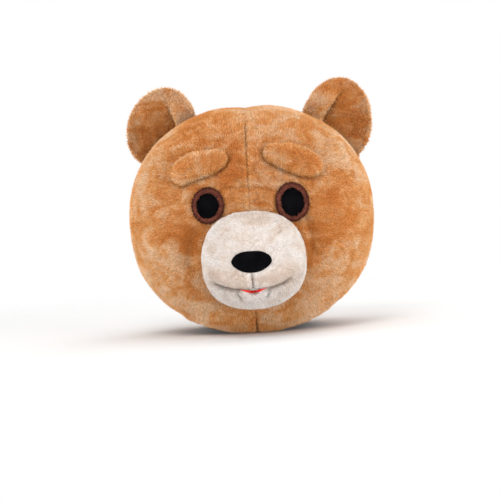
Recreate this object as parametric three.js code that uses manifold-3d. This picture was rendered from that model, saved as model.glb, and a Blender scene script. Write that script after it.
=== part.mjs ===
// A plush bear head that is worn over the wearer's own head: a padded hollow shell with a neck opening, and
// the muzzle, lower lip, mouth lining, nose, eye rings, eye meshes, brows and ears that are sewn to it.
// Millimetres, +Z up, face towards -Y. Left and right are the wearer's, so left is +X.
// The origin lies under the middle of the whole object, on the surface that the neck rim rests on.
import * as THREE from "three";
import { mergeVertices } from "three/addons/utils/BufferGeometryUtils.js";
import Module from "manifold-3d";

const wasm = await Module();
wasm.setup();

// Head shell. Heights in this file are counted from the middle of the head, which lies level with the cheeks.
const headHalfWidth = 201;
const headHalfDepth = 186;
const crownHeight = 186;
const chinDepth = 182.5;
const undersideReach = 232;
const undersideRadius = 221;
const wallThickness = 12;
const widthPower = 2.2;
const depthPower = 2.6;
const crownPower = 2.2;
const undersidePower = 2.45;
const undersideBlend = 7;

// Neck opening and the flat that the rim rests on
const neckHalfWidth = 118;
const neckHalfDepth = 103;
const restFlat = 5;

// Seams are grooves in the pile
const seamWidth = 3;
const seamDepth = 3;

// Muzzle, stuffed, with the mouth line that parts it from the lower lip. Its middle lies muzzleSink behind
// the front of the head, muzzleDrop below the middle of the head, and its tip muzzleReach further forward.
const muzzleHalfWidth = 83;
const muzzleHalfHeight = 77;
const muzzleDrop = 60;
const muzzleSink = 36;
const muzzleReach = 132;
const muzzlePower = 2.35;
const muzzleProfilePower = 2.7;
const muzzleTopNarrowing = 0.02;
const muzzleBottomNarrowing = 0.1;
const muzzleDroop = 9;
const muzzleDentFade = 0.5;
const mouthBelowNose = 42.5;
const mouthRise = 17;
const mouthHalfSpan = 64;
const lipSetback = 8;

// Mouth opening with its lining
const gapeHalfWidth = 24;
const gapeHeight = 6.5;
const gapeDepth = 26;
const liningRecess = 3;

// Nose, level with the middle of the muzzle
const noseHalfWidth = 30;
const noseHalfHeight = 16.5;
const noseThickness = 7;
const noseBottomNarrowing = 0.35;
const nosePower = 2.6;
const nosePlumpness = 0.7;

// Eyes. The hole in the shell is wider than the opening by ringOverHole, so that the ring overlaps its edge.
const eyeHalfWidth = 19;
const eyeHalfHeight = 22;
const ringBand = 8;
const ringThickness = 3.5;
const ringOverHole = 3;
const meshThickness = 1.2;
const meshRecess = 3;

// Brows
const browHalfWidth = 20;
const browThickness = 13;
const browBluntness = 3.2;
const browEndReach = 0.45;

// Ears
const earHalfWidth = 58.5;
const earHalfHeight = 74;
const earBack = 18;
const earThickness = 20;
const earCup = 13;
const earBowl = 14;
const earBowlPower = 4;
const earRollRise = 8;
const earFoldDepth = 6;
const earFoldWidth = 6;

// Sewn pieces stop this far from what they are sewn to
const sewnGap = 0.3;

// Fineness of the faceted solids
const facetTolerance = 0.05;
const mergeDistance = 1e-3;
const shellColumns = 46;
const shellRows = 28;
const liningColumns = 32;
const liningRows = 18;
const neckSegments = 48;
const muzzleColumns = 36;
const muzzleRows = 24;
const mouthSteps = 24;
const gapeSteps = 12;
const noseColumns = 32;
const noseRows = 12;
const eyeSegments = 30;
const ringSides = 8;
const browColumns = 20;
const browRows = 16;
const earColumns = 40;
const earRows = 22;

// Reaches of the searches for a skin, and of what has to pass all the way through the head
const farAway = 3 * headHalfWidth;
const skinReach = 5 * wallThickness;
const slopeReach = wallThickness / 24;
const searchSteps = 26;

// Soft hollows (and, where depth is negative, swellings) of the padded shell. across, up and both spreads are
// shares of headHalfWidth, depth is a share of wallThickness.
const hollows = [
  { name: "left eye socket", across: 0.33, up: 0.12, acrossSpread: 0.2, upSpread: 0.17, depth: 0.5 },
  { name: "right eye socket", across: -0.33, up: 0.12, acrossSpread: 0.2, upSpread: 0.17, depth: 0.5 },
  { name: "between the brows", across: 0, up: 0.22, acrossSpread: 0.16, upSpread: 0.12, depth: 0.25 },
  { name: "left cheek", across: 0.56, up: -0.42, acrossSpread: 0.24, upSpread: 0.26, depth: -0.45 },
  { name: "right cheek", across: -0.56, up: -0.42, acrossSpread: 0.24, upSpread: 0.26, depth: -0.45 },
  { name: "left of the muzzle", across: 0.44, up: -0.12, acrossSpread: 0.1, upSpread: 0.2, depth: 0.3 },
  { name: "right of the muzzle", across: -0.44, up: -0.12, acrossSpread: 0.1, upSpread: 0.2, depth: 0.3 },
];

// The middle of each eye as shares of headHalfWidth, and its opening as shares of eyeHalfWidth and
// eyeHalfHeight
const eyes = {
  left: { across: 0.33, up: 0.127, width: 1, height: 1.04 },
  right: { across: -0.318, up: 0.137, width: 0.97, height: 0.93 },
};

// The middle line of each brow, from its inner to its outer end. across is a share of headHalfWidth, up of
// crownHeight, width of browHalfWidth.
const leftBrow = [
  { across: 0.175, up: 0.552, width: 0.85 },
  { across: 0.28, up: 0.527, width: 1.05 },
  { across: 0.375, up: 0.492, width: 1.1 },
  { across: 0.46, up: 0.45, width: 1.08 },
  { across: 0.53, up: 0.415, width: 0.9 },
];
const rightBrow = [
  { across: -0.195, up: 0.535, width: 0.88 },
  { across: -0.29, up: 0.508, width: 1 },
  { across: -0.385, up: 0.495, width: 1.07 },
  { across: -0.47, up: 0.455, width: 1.1 },
  { across: -0.525, up: 0.39, width: 0.9 },
];

// Swellings (negative depth) and dents of the stuffed muzzle, counted from its middle. across and acrossSpread
// are shares of muzzleHalfWidth, up and upSpread of muzzleHalfHeight, depth of wallThickness.
const muzzleHollows = [
  { name: "left lobe", across: 0.42, up: -0.3, acrossSpread: 0.36, upSpread: 0.3, depth: -0.4 },
  { name: "right lobe", across: -0.42, up: -0.3, acrossSpread: 0.36, upSpread: 0.3, depth: -0.4 },
  { name: "under the nose", across: 0, up: -0.48, acrossSpread: 0.13, upSpread: 0.26, depth: 0.35 },
  { name: "left mouth corner", across: 0.76, up: -0.36, acrossSpread: 0.14, upSpread: 0.12, depth: 0.3 },
  { name: "right mouth corner", across: -0.76, up: -0.36, acrossSpread: 0.14, upSpread: 0.12, depth: 0.3 },
  { name: "left of the lip", across: 0.34, up: -0.72, acrossSpread: 0.1, upSpread: 0.16, depth: 0.35 },
  { name: "right of the lip", across: -0.34, up: -0.72, acrossSpread: 0.1, upSpread: 0.16, depth: 0.35 },
];

// Each ear is an oval pad with a fold inside. across is a share of headHalfWidth, up of crownHeight, width,
// foldAcross and foldDrift of earHalfWidth, height, foldFrom and foldTo of earHalfHeight. lean turns the top
// outwards, in degrees. The fold starts foldAcross outwards of the ear's middle and drifts outwards by
// foldDrift on its way up from foldFrom to foldTo, where it ends.
const ears = {
  left: {
    across: 0.742, up: 0.815, width: 1.017, height: 1.055, lean: 11.6,
    foldAcross: -0.467, foldDrift: 0.755, foldFrom: 0, foldTo: 1,
  },
  right: {
    across: 0.705, up: 0.87, width: 0.983, height: 0.94, lean: -22,
    foldAcross: -0.474, foldDrift: 0.31, foldFrom: 0, foldTo: 0.7,
  },
};

const plush = new THREE.MeshStandardMaterial({ color: 0xc98a50, roughness: 0.95, metalness: 0 });
const creamPlush = new THREE.MeshStandardMaterial({ color: 0xddcabb, roughness: 0.95, metalness: 0 });
const brownPlush = new THREE.MeshStandardMaterial({ color: 0x5e342c, roughness: 0.9, metalness: 0 });
const blackMesh = new THREE.MeshStandardMaterial({ color: 0x121013, roughness: 0.7, metalness: 0 });
const blackCloth = new THREE.MeshStandardMaterial({ color: 0x0d0c10, roughness: 0.8, metalness: 0 });
const redFelt = new THREE.MeshStandardMaterial({ color: 0xd8231f, roughness: 0.9, metalness: 0 });

function solidFrom(geometry) {
  const corners = geometry.index ? geometry.toNonIndexed() : geometry;
  const bare = new THREE.BufferGeometry().setAttribute("position", corners.getAttribute("position"));
  const merged = mergeVertices(bare, mergeDistance);
  return new wasm.Manifold(
    new wasm.Mesh({
      numProp: 3,
      vertProperties: merged.attributes.position.array,
      triVerts: new Uint32Array(merged.index.array),
    }),
  );
}

function geometryFrom(solid) {
  const mesh = solid.simplify(facetTolerance).getMesh();
  const geometry = new THREE.BufferGeometry();
  geometry.setAttribute("position", new THREE.BufferAttribute(new Float32Array(mesh.vertProperties), 3));
  geometry.setIndex(new THREE.BufferAttribute(new Uint32Array(mesh.triVerts), 1));
  return geometry;
}

// Moves every vertex of a geometry to where place() puts it
function reshaped(geometry, place) {
  const position = geometry.getAttribute("position");
  const vertex = new THREE.Vector3();
  for (let i = 0; i < position.count; i++) {
    vertex.fromBufferAttribute(position, i);
    const moved = place(vertex.clone());
    position.setXYZ(i, moved.x, moved.y, moved.z);
  }
  return geometry;
}

// A sphere of radius 1 with its poles on the Z axis
function unitSphere(columns, rows) {
  return new THREE.SphereGeometry(1, columns, rows).rotateX(Math.PI / 2);
}

function bell(distance, spread) {
  return Math.exp(-((distance / spread) ** 2));
}

// How full the padded head is at a point: 1 on its skin. The underside is an arc from side to side, so that the
// chin and the nape hang lowest and the sides clear the shoulders.
function headFullness(point) {
  const halfHeight = point.z > 0 ? crownHeight : undersideReach;
  const heightPower = point.z > 0 ? crownPower : undersidePower;
  const body =
    Math.abs(point.x / headHalfWidth) ** widthPower +
    Math.abs(point.y / headHalfDepth) ** depthPower +
    Math.abs(point.z / halfHeight) ** heightPower;
  const arcHeight = point.z - (undersideRadius - chinDepth);
  const underside = (point.x ** 2 + arcHeight ** 2) / undersideRadius ** 2;
  return (body ** undersideBlend + underside ** undersideBlend) ** (1 / undersideBlend);
}

// Where a quantity that grows along a line passes the wanted value
function crossing(low, high, excess) {
  let near = low;
  let far = high;
  for (let step = 0; step < searchSteps; step++) {
    const middle = (near + far) / 2;
    if (excess(middle) > 0) far = middle;
    else near = middle;
  }
  return (near + far) / 2;
}

// The depth of the hollows of a table at a point, where across and up are shares as in the table
function depthOf(table, across, up) {
  const dip = table.reduce((total, hollow) => {
    const beside = bell(across - hollow.across, hollow.acrossSpread);
    const above = bell(up - hollow.up, hollow.upSpread);
    return total + hollow.depth * beside * above;
  }, 0);
  return wallThickness * dip;
}

function hollowDepth(point) {
  const towardsFace = THREE.MathUtils.smoothstep(-point.y, 0, headHalfDepth / 2);
  return depthOf(hollows, point.x / headHalfWidth, point.z / headHalfWidth) * towardsFace;
}

function headRadius(direction) {
  const full = crossing(0, farAway, (length) => headFullness(direction.clone().multiplyScalar(length)) - 1);
  return full - hollowDepth(direction.clone().multiplyScalar(full));
}

// The muzzle is egg-shaped from the front, blunt from the side, and droops towards its tip.
function muzzleFullness(point, reach) {
  const forward = -point.y / reach;
  const z = point.z + muzzleDroop * Math.max(0, forward) ** 2;
  const up = z / muzzleHalfHeight;
  const narrowing = up > 0 ? muzzleTopNarrowing : muzzleBottomNarrowing;
  const halfWidth = muzzleHalfWidth * (1 - narrowing * Math.min(1, Math.abs(up)) ** 2);
  const outline = Math.abs(point.x / halfWidth) ** muzzlePower + Math.abs(up) ** muzzlePower;
  return outline ** (muzzleProfilePower / muzzlePower) + Math.abs(forward) ** muzzleProfilePower;
}

function muzzleRadius(direction, reach) {
  const excess = (length) => muzzleFullness(direction.clone().multiplyScalar(length), reach) - 1;
  const full = crossing(0, farAway, excess);
  const forward = THREE.MathUtils.smoothstep(-direction.y, 0, muzzleDentFade);
  const across = (direction.x * full) / muzzleHalfWidth;
  const up = (direction.z * full) / muzzleHalfHeight;
  return full - depthOf(muzzleHollows, across, up) * forward;
}

const muzzleMiddle = new THREE.Vector3(0, muzzleSink - headHalfDepth, -muzzleDrop);
const headSkin = { middle: new THREE.Vector3(), radiusAlong: headRadius };
const muzzleSkin = { middle: muzzleMiddle, radiusAlong: (direction) => muzzleRadius(direction, muzzleReach) };
const lipSkin = {
  middle: muzzleMiddle,
  radiusAlong: (direction) => muzzleRadius(direction, muzzleReach - lipSetback),
};

function heightOver(skin, point) {
  const arm = point.clone().sub(skin.middle);
  return arm.length() - skin.radiusAlong(arm.clone().normalize());
}

function normalOf(skin, point) {
  const slope = (x, y, z) =>
    heightOver(skin, point.clone().add(new THREE.Vector3(x, y, z))) -
    heightOver(skin, point.clone().sub(new THREE.Vector3(x, y, z)));
  return new THREE.Vector3(
    slope(slopeReach, 0, 0),
    slope(0, slopeReach, 0),
    slope(0, 0, slopeReach),
  ).normalize();
}

// The closed form inside a skin, grown by offset
function formOf(skin, offset, columns, rows) {
  return solidFrom(
    reshaped(unitSphere(columns, rows), (direction) => {
      direction.normalize();
      const onSkin = direction.clone().multiplyScalar(skin.radiusAlong(direction)).add(skin.middle);
      return offset ? onSkin.clone().addScaledVector(normalOf(skin, onSkin), offset) : onSkin;
    }),
  );
}

// A place on the front of a skin with its outward normal and the directions across and up along the skin
function placeOn(skin, x, z) {
  const excess = (forward) => heightOver(skin, new THREE.Vector3(x, -forward, z));
  const y = -crossing(-skin.middle.y, farAway, excess);
  const point = new THREE.Vector3(x, y, z);
  const normal = normalOf(skin, point);
  const up = new THREE.Vector3(0, 0, 1).addScaledVector(normal, -normal.z).normalize();
  const across = new THREE.Vector3().crossVectors(up, normal);
  return { point, normal, across, up };
}

// Lays a flat-modelled geometry on a skin: x runs across, y up and z out of the skin.
function laidOn(skin, place, geometry) {
  return reshaped(geometry, (vertex) => {
    const start = place.point
      .clone()
      .addScaledVector(place.across, vertex.x)
      .addScaledVector(place.up, vertex.y);
    const lift = crossing(-skinReach, skinReach, (along) =>
      heightOver(skin, start.clone().addScaledVector(place.normal, along)),
    );
    const onSkin = start.addScaledVector(place.normal, lift);
    return onSkin.clone().addScaledVector(normalOf(skin, onSkin), vertex.z);
  });
}

function boxBetween(low, high) {
  const size = new THREE.Vector3().subVectors(high, low);
  const middle = new THREE.Vector3().addVectors(low, high).multiplyScalar(0.5);
  return solidFrom(new THREE.BoxGeometry(size.x, size.y, size.z).translate(middle.x, middle.y, middle.z));
}

// The thin slab along the middle of the head in which seams lie
const seamSlab = boxBetween(
  new THREE.Vector3(-seamWidth / 2, -farAway, -farAway),
  new THREE.Vector3(seamWidth / 2, farAway, farAway),
);

const headForm = formOf(headSkin, 0, shellColumns, shellRows);
const headKeepOut = formOf(headSkin, sewnGap, shellColumns, shellRows);
const muzzleKeepOut = formOf(muzzleSkin, sewnGap, muzzleColumns, muzzleRows);

function eyePlace(eye) {
  return placeOn(headSkin, eye.across * headHalfWidth, eye.up * headHalfWidth);
}

// The hole for an eye, narrower by a clearance for what fits in it
function eyeHole(eye, clearance) {
  const place = eyePlace(eye);
  const halfWidth = eye.width * eyeHalfWidth + ringOverHole - clearance;
  const halfHeight = eye.height * eyeHalfHeight + ringOverHole - clearance;
  const turn = new THREE.Matrix4().makeBasis(place.across, place.up, place.normal).setPosition(place.point);
  return solidFrom(
    new THREE.CylinderGeometry(1, 1, 2 * skinReach, eyeSegments)
      .rotateX(Math.PI / 2)
      .scale(halfWidth, halfHeight, 1)
      .applyMatrix4(turn),
  );
}

function headShell() {
  const inside = formOf(headSkin, -wallThickness, liningColumns, liningRows);
  const neck = solidFrom(
    new THREE.CylinderGeometry(1, 1, chinDepth, neckSegments)
      .rotateX(Math.PI / 2)
      .scale(neckHalfWidth, neckHalfDepth, 1)
      .translate(0, 0, -chinDepth),
  );
  const underRest = boxBetween(
    new THREE.Vector3(-farAway, -farAway, -farAway),
    new THREE.Vector3(farAway, farAway, restFlat - chinDepth),
  );
  const belowSeam = formOf(headSkin, -seamDepth, shellColumns, shellRows);
  const seam = seamSlab.subtract(belowSeam);
  return headForm
    .subtract(inside)
    .subtract(neck)
    .subtract(underRest)
    .subtract(seam)
    .subtract(eyeHole(eyes.left, 0))
    .subtract(eyeHole(eyes.right, 0));
}

// Height of the mouth line, which rises to both sides like a smile
function mouthHeight(x) {
  return mouthRise * (x / mouthHalfSpan) ** 2 - muzzleDrop - mouthBelowNose;
}

function gapeAt(x) {
  return gapeHeight * Math.max(0, 1 - (x / gapeHalfWidth) ** 2);
}

// Everything between two curves over the width from -halfWidth to halfWidth, extruded from front to back
function between(lower, upper, halfWidth, front, back, steps) {
  const xs = Array.from({ length: steps + 1 }, (_, i) => halfWidth * ((2 * i) / steps - 1));
  const outline = [
    ...xs.map((x) => new THREE.Vector2(x, lower(x))),
    ...xs.reverse().map((x) => new THREE.Vector2(x, upper(x))),
  ];
  const bar = { depth: back - front, bevelEnabled: false };
  const extruded = new THREE.ExtrudeGeometry(new THREE.Shape(outline), bar);
  return solidFrom(extruded.rotateX(Math.PI / 2).translate(0, back, 0));
}

function muzzle() {
  const above = between(mouthHeight, () => farAway, 2 * muzzleHalfWidth, -farAway, 0, mouthSteps);
  const belowSeam = formOf(muzzleSkin, -seamDepth, muzzleColumns, muzzleRows);
  const underNose = boxBetween(
    new THREE.Vector3(-seamWidth, -farAway, -farAway),
    new THREE.Vector3(seamWidth, 0, -muzzleDrop),
  );
  const philtrum = seamSlab.intersect(underNose).subtract(belowSeam);
  return formOf(muzzleSkin, 0, muzzleColumns, muzzleRows)
    .intersect(above)
    .subtract(philtrum)
    .subtract(headKeepOut);
}

const lipFront = muzzleMiddle.y - muzzleReach + lipSetback;

function lowerLip() {
  const lipTop = (x) => mouthHeight(x) - sewnGap;
  const below = between(() => -farAway, lipTop, 2 * muzzleHalfWidth, -farAway, 0, mouthSteps);
  const pocket = between(
    (x) => lipTop(x) - gapeAt(x),
    mouthHeight,
    gapeHalfWidth,
    -farAway,
    lipFront + gapeDepth,
    gapeSteps,
  );
  return formOf(lipSkin, 0, muzzleColumns, muzzleRows)
    .intersect(below)
    .subtract(pocket)
    .subtract(headKeepOut);
}

function mouthLining() {
  const halfWidth = gapeHalfWidth * (1 - (2 * sewnGap) / gapeHeight);
  const lens = between(
    (x) => mouthHeight(x) - gapeAt(x),
    (x) => mouthHeight(x) - sewnGap,
    halfWidth,
    -farAway,
    lipFront + gapeDepth - sewnGap,
    gapeSteps,
  );
  return lens.intersect(formOf(lipSkin, -liningRecess, muzzleColumns, muzzleRows));
}

// A rounded pad, wide at the top and narrow at the bottom
function nose() {
  const place = placeOn(muzzleSkin, 0, -muzzleDrop);
  const pad = reshaped(unitSphere(noseColumns, noseRows), (vertex) => {
    const angle = Math.atan2(vertex.y, vertex.x);
    const corner = Math.abs(Math.cos(angle)) ** nosePower + Math.abs(Math.sin(angle)) ** nosePower;
    const reach = Math.hypot(vertex.x, vertex.y) / corner ** (1 / nosePower);
    const y = reach * Math.sin(angle);
    const narrowing = 1 - noseBottomNarrowing * Math.max(0, -y) ** 2;
    return new THREE.Vector3(
      reach * Math.cos(angle) * noseHalfWidth * narrowing,
      y * noseHalfHeight,
      Math.sign(vertex.z) * Math.abs(vertex.z) ** nosePlumpness * noseThickness,
    );
  });
  return solidFrom(laidOn(muzzleSkin, place, pad)).subtract(muzzleKeepOut);
}

// A closed band of plush round the eye hole
function eyeRing(eye) {
  const middleRadius = 1;
  const tubeRadius = 0.25;
  const band = new THREE.TorusGeometry(middleRadius, tubeRadius, ringSides, eyeSegments);
  const flat = reshaped(band, (vertex) => {
    const angle = Math.atan2(vertex.y, vertex.x);
    const outwards = (Math.hypot(vertex.x, vertex.y) - middleRadius) / tubeRadius;
    const spread = ((1 + outwards) * ringBand) / 2;
    return new THREE.Vector3(
      (eye.width * eyeHalfWidth + spread) * Math.cos(angle),
      (eye.height * eyeHalfHeight + spread) * Math.sin(angle),
      (vertex.z / tubeRadius) * ringThickness,
    );
  });
  return solidFrom(laidOn(headSkin, eyePlace(eye), flat)).subtract(headKeepOut).subtract(muzzleKeepOut);
}

function eyeMesh(eye) {
  const profile = [
    new THREE.Vector2(0, 0),
    new THREE.Vector2(0.5, 0),
    new THREE.Vector2(1, 0),
    new THREE.Vector2(1, meshThickness),
    new THREE.Vector2(0.5, meshThickness),
    new THREE.Vector2(0, meshThickness),
  ];
  const disc = new THREE.LatheGeometry(profile, eyeSegments)
    .rotateX(Math.PI / 2)
    .scale(eye.width * eyeHalfWidth + ringOverHole, eye.height * eyeHalfHeight + ringOverHole, 1)
    .translate(0, 0, -meshRecess - meshThickness);
  return solidFrom(laidOn(headSkin, eyePlace(eye), disc)).intersect(eyeHole(eye, sewnGap));
}

// A stuffed roll along the brow's middle line, half sunk in the head and trimmed to its skin
function brow(stations) {
  const middleStation = stations[Math.floor(stations.length / 2)];
  const place = placeOn(headSkin, middleStation.across * headHalfWidth, middleStation.up * crownHeight);
  const line = new THREE.CatmullRomCurve3(
    stations.map((station) => {
      const point = placeOn(headSkin, station.across * headHalfWidth, station.up * crownHeight).point;
      const arm = point.sub(place.point);
      return new THREE.Vector3(arm.dot(place.across), arm.dot(place.up), 0);
    }),
  );
  const widthAlong = (share) => {
    const at = share * (stations.length - 1);
    const first = Math.min(Math.floor(at), stations.length - 2);
    const widths = [stations[first].width, stations[first + 1].width];
    return browHalfWidth * THREE.MathUtils.lerp(...widths, at - first);
  };
  const roll = reshaped(unitSphere(browColumns, browRows).rotateY(Math.PI / 2), (vertex) => {
    const share = (THREE.MathUtils.clamp(vertex.x, -1, 1) + 1) / 2;
    const spine = line.getPoint(share);
    const along = line.getTangent(share);
    const aside = new THREE.Vector3(-along.y, along.x, 0);
    const halfWidth = widthAlong(share);
    const girth = Math.hypot(vertex.y, vertex.z);
    const blunt = Math.max(0, 1 - Math.abs(vertex.x) ** browBluntness) ** (1 / browBluntness);
    const fuller = girth > 0 ? blunt / girth : 0;
    const endRound = halfWidth * browEndReach * vertex.x * Math.abs(vertex.x) ** 3;
    return spine
      .addScaledVector(along, endRound)
      .addScaledVector(aside, vertex.y * fuller * halfWidth)
      .setZ(vertex.z * fuller * browThickness);
  });
  return solidFrom(laidOn(headSkin, place, roll)).subtract(headKeepOut);
}

// How far a point of an ear lies on the inner side of its fold, and how strong the fold is at that height
function earFold(shape, outwards, up) {
  const share = up / earHalfHeight;
  const drift = shape.foldDrift * THREE.MathUtils.smoothstep(share, shape.foldFrom, shape.foldTo);
  const strength = 1 - THREE.MathUtils.smoothstep(share, (shape.foldFrom + shape.foldTo) / 2, shape.foldTo);
  return { inside: (shape.foldAcross + drift) * earHalfWidth - outwards, strength };
}

// An ear is a thick oval pad with a bowl in its front, whose inner side rolls forward over a fold. It is
// modelled with x pointing outwards and z forward, then stood up beside the head and trimmed to it.
function ear(shape, side) {
  const lean = THREE.MathUtils.degToRad(shape.lean);
  const pad = reshaped(unitSphere(earColumns, earRows), (vertex) => {
    const rim = Math.hypot(vertex.x, vertex.y);
    const flat = new THREE.Vector2(
      vertex.x * shape.width * earHalfWidth,
      vertex.y * shape.height * earHalfHeight,
    ).rotateAround(new THREE.Vector2(), -lean);
    const plump = Math.sqrt(Math.abs(vertex.z));
    const fold = earFold(shape, flat.x, flat.y);
    const rolled = THREE.MathUtils.smoothstep(fold.inside, 0, earFoldWidth) * fold.strength;
    const groove = earFoldDepth * bell(fold.inside, earFoldWidth) * fold.strength;
    const bowl = earBowl * (1 - rim ** earBowlPower) * (1 - rolled);
    const front = (earThickness / 2 + earRollRise * rolled) * plump - bowl - groove * plump;
    const back = -(earThickness / 2) * plump - earCup * (1 - rim ** 2);
    return new THREE.Vector3(flat.x, flat.y, vertex.z > 0 ? front : back);
  });
  pad.rotateX(Math.PI / 2).scale(side, 1, 1);
  pad.translate(side * shape.across * headHalfWidth, earBack, shape.up * crownHeight);
  if (side < 0) turnInsideOut(pad);
  return solidFrom(pad).subtract(headKeepOut);
}

function turnInsideOut(geometry) {
  const index = geometry.index.array;
  for (let i = 0; i < index.length; i += 3) [index[i + 1], index[i + 2]] = [index[i + 2], index[i + 1]];
}

const bearHead = new THREE.Group();

function add(name, solid, material) {
  const mesh = new THREE.Mesh(geometryFrom(solid), material);
  mesh.name = name;
  bearHead.add(mesh);
}

add("head_shell", headShell(), plush);
add("muzzle", muzzle(), creamPlush);
add("lower_lip", lowerLip(), creamPlush);
add("mouth_lining", mouthLining(), redFelt);
add("nose", nose(), blackCloth);
add("left_eye_ring", eyeRing(eyes.left), brownPlush);
add("right_eye_ring", eyeRing(eyes.right), brownPlush);
add("left_eye_mesh", eyeMesh(eyes.left), blackMesh);
add("right_eye_mesh", eyeMesh(eyes.right), blackMesh);
add("left_brow", brow(leftBrow), plush);
add("right_brow", brow(rightBrow), plush);
add("left_ear", ear(ears.left, 1), plush);
add("right_ear", ear(ears.right, -1), plush);

// Brings the origin under the middle of the object
const extent = new THREE.Box3().setFromObject(bearHead, true);
bearHead.position.set(
  -(extent.min.x + extent.max.x) / 2,
  -(extent.min.y + extent.max.y) / 2,
  -extent.min.z,
);

export default bearHead;
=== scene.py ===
import math
import bmesh
import bpy
from mathutils import Matrix, Vector, noise
from mathutils.bvhtree import BVHTree


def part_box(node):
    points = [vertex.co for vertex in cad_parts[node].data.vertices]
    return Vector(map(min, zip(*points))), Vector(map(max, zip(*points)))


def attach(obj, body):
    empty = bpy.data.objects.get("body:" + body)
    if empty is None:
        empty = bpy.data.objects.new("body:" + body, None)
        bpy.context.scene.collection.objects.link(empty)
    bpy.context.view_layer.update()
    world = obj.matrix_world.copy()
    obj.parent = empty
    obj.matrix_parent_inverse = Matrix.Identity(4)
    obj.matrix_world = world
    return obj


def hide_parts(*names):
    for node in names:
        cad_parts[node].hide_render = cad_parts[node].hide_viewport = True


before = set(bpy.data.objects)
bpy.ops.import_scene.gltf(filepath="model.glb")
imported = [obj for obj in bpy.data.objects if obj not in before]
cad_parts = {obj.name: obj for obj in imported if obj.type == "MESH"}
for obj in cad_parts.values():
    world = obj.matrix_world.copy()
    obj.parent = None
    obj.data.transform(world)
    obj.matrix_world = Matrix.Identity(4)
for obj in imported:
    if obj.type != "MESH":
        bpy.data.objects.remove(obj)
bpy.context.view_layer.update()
scene = bpy.context.scene
up = Vector((0, 0, 1))
print("frame loaded")

# Sizes that more than one piece uses, in metres
mask = {
    "crownHeight": 0.186,  # from the middle of the head to its top
    "neckHalfWidth": 0.118,
    "neckHalfDepth": 0.103,
    "headSkinDepth": 0.0036,  # how far the cloth lies below the tips of its pile
    "sewnGap": 0.0004,
    "floorGap": 0.0002,
    "weld": 0.00002,
    "coverLift": 0.0002,  # a ray that looks for a covering piece starts this far off the cloth
    "coverReach": 0.009,
}
headLow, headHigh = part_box("head_shell")
headMiddle = (headLow + headHigh) / 2
headMiddle.z = headHigh.z - mask["crownHeight"]


def acrossUp(point):  # how far a point lies from the middle of the head, towards the wearer's left and up
    return point.x - headMiddle.x, point.z - headMiddle.z


def addObject(name, data):
    made = bpy.data.objects.new(name, data)
    scene.collection.objects.link(made)
    return made


# Camera, lights and floor

cameraValues = {
    "distance": 2.8,
    "frameWidth": 0.825,  # what the picture takes in at the middle of the head
    "sensor": 36,
    "yaw": 1.0,
    "pitch": 1.3,
    "roll": 3.5,
    "headRight": 0.0033,  # where the middle of the head lies from the middle of the picture
    "headUp": 0.0487,
}


def makeCamera(values):
    yaw, pitch, roll = (math.radians(values[label]) for label in ("yaw", "pitch", "roll"))
    forward = Vector((-math.sin(yaw) * math.cos(pitch), math.cos(yaw) * math.cos(pitch), -math.sin(pitch)))
    level = forward.cross(up).normalized()
    upright = level.cross(forward)
    right = level * math.cos(roll) - upright * math.sin(roll)
    top = level * math.sin(roll) + upright * math.cos(roll)
    data = bpy.data.cameras.new("photoCamera")
    data.sensor_width = values["sensor"]
    data.lens = values["sensor"] * values["distance"] / values["frameWidth"]
    camera = addObject("photoCamera", data)
    place = headMiddle - forward * values["distance"] - right * values["headRight"] - top * values["headUp"]
    turn = Matrix((right, top, -forward)).transposed().to_4x4()
    camera.matrix_world = Matrix.Translation(place) @ turn
    scene.camera = camera


lightValues = [  # name, place from the middle of the head, size across, watts
    ("keyLight", (-0.4, -1.9, 1.6), 1.2, 19.5),
    ("fillLight", (1.5, -1.9, 0.6), 1.6, 9),
    ("lowLeftLight", (-1.2, -1.7, -0.11), 0.5, 14),
    ("lowRightLight", (1.1, -1.7, -0.11), 0.5, 15),
    ("topLight", (0.1, 0.3, 2.1), 2.0, 7),
    ("backLight", (0.9, 1.9, 1.1), 1.6, 12),
]


def makeLights(rows):
    for name, offset, size, watts in rows:
        data = bpy.data.lights.new(name, "AREA")
        data.shape = "DISK"
        data.size = size
        data.energy = watts
        lamp = addObject(name, data)
        lamp.location = headMiddle + Vector(offset)
        lamp.rotation_euler = (-Vector(offset)).to_track_quat("-Z", "Y").to_euler()


stageValues = {
    "floorRadius": 4.0,
    "floorColour": (0.95, 0.945, 0.94, 1),
    "floorRoughness": 0.9,
    "fadeFrom": 0.4,  # the floor fades into the white backdrop between these distances
    "fadeTo": 1.7,
    "ambient": 0.68,
}


def fillInputs(tree, made, values):
    for name, value in values.items():
        if isinstance(value, bpy.types.NodeSocket):
            tree.links.new(value, made.inputs[name])
        else:
            made.inputs[name].default_value = value


def addNode(tree, kind, values=None, **settings):
    made = tree.nodes.new(kind)
    for name, value in settings.items():
        setattr(made, name, value)
    fillInputs(tree, made, values or {})
    return made


def addMath(tree, operation, *values):
    return addNode(tree, "ShaderNodeMath", dict(enumerate(values)), operation=operation).outputs[0]


def addVector(tree, operation, *values):
    made = addNode(tree, "ShaderNodeVectorMath", dict(enumerate(values)), operation=operation)
    return made.outputs["Value" if operation in ("LENGTH", "DOT_PRODUCT") else "Vector"]


def addScale(tree, vector, factor):
    values = {0: vector, "Scale": factor}
    return addNode(tree, "ShaderNodeVectorMath", values, operation="SCALE").outputs["Vector"]


def addRange(tree, value, low=0.0, high=1.0, toLow=0.0, toHigh=1.0, kind="LINEAR"):
    return addNode(tree, "ShaderNodeMapRange", {
        "Value": value, "From Min": low, "From Max": high, "To Min": toLow, "To Max": toHigh,
    }, interpolation_type=kind).outputs["Result"]


def addMix(tree, kind, share, first, second):
    start = {"FLOAT": 2, "VECTOR": 4, "RGBA": 6}[kind]
    values = {0: share, start: first, start + 1: second}
    return addNode(tree, "ShaderNodeMix", values, data_type=kind).outputs[start // 2 - 1]


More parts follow.
